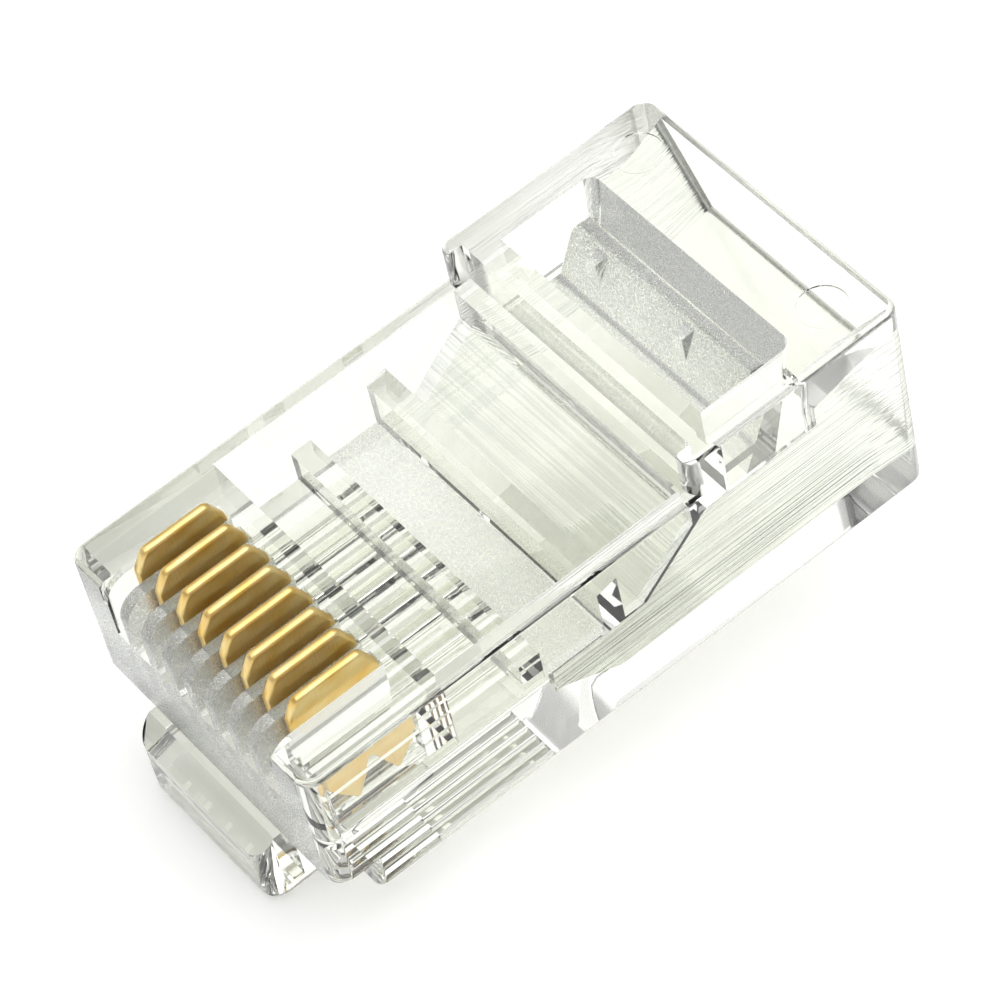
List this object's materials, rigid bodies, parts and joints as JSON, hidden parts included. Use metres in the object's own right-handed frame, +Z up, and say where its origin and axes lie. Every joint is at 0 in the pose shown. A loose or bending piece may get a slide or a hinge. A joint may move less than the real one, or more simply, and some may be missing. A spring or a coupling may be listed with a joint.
{
  "type": "rj45 modular plug",
  "caption": "Clear eight-way rj45 modular plug, uncrimped, with eight gilt contact blades standing above the nose and a sprung latch.",
  "frame": {"origin": "middle of the bounding box on the surface that the plug rests on", "axes": "+Y from the nose to the cable end, +X to the plug's side, +Z up; the plug leans nose down on its latch, so its own long axis rises towards +Y"},
  "size_m": [0.0116, 0.023, 0.0133],
  "materials": {
    "clear_polycarbonate": "clear gloss",
    "gilt_contact": "polished gold plate"
  },
  "bodies": {
    "housing": {"housing": "clear_polycarbonate"},
    "latch": {"latch": "clear_polycarbonate"},
    "contact_1": {"contact_1": "gilt_contact"},
    "contact_2": {"contact_2": "gilt_contact"},
    "contact_3": {"contact_3": "gilt_contact"},
    "contact_4": {"contact_4": "gilt_contact"},
    "contact_5": {"contact_5": "gilt_contact"},
    "contact_6": {"contact_6": "gilt_contact"},
    "contact_7": {"contact_7": "gilt_contact"},
    "contact_8": {"contact_8": "gilt_contact"}
  },
  "joints": [
    {"name": "latch_hinge", "type": "hinge", "parent": "housing", "child": "latch", "pos_m": [0, -0.00842, 0.001], "axis": [1, 0, 0], "range_deg": [0, 11], "stiffness_Nm_per_rad": 0.05},
    {"name": "contact_1_crimp", "type": "slide", "parent": "housing", "child": "contact_1", "axis": [0, 0.16, -0.9871], "range_m": [0, 0.00133]},
    {"name": "contact_2_crimp", "type": "slide", "parent": "housing", "child": "contact_2", "axis": [0, 0.16, -0.9871], "range_m": [0, 0.00133]},
    {"name": "contact_3_crimp", "type": "slide", "parent": "housing", "child": "contact_3", "axis": [0, 0.16, -0.9871], "range_m": [0, 0.00133]},
    {"name": "contact_4_crimp", "type": "slide", "parent": "housing", "child": "contact_4", "axis": [0, 0.16, -0.9871], "range_m": [0, 0.00133]},
    {"name": "contact_5_crimp", "type": "slide", "parent": "housing", "child": "contact_5", "axis": [0, 0.16, -0.9871], "range_m": [0, 0.00133]},
    {"name": "contact_6_crimp", "type": "slide", "parent": "housing", "child": "contact_6", "axis": [0, 0.16, -0.9871], "range_m": [0, 0.00133]},
    {"name": "contact_7_crimp", "type": "slide", "parent": "housing", "child": "contact_7", "axis": [0, 0.16, -0.9871], "range_m": [0, 0.00133]},
    {"name": "contact_8_crimp", "type": "slide", "parent": "housing", "child": "contact_8", "axis": [0, 0.16, -0.9871], "range_m": [0, 0.00133]}
  ]
}
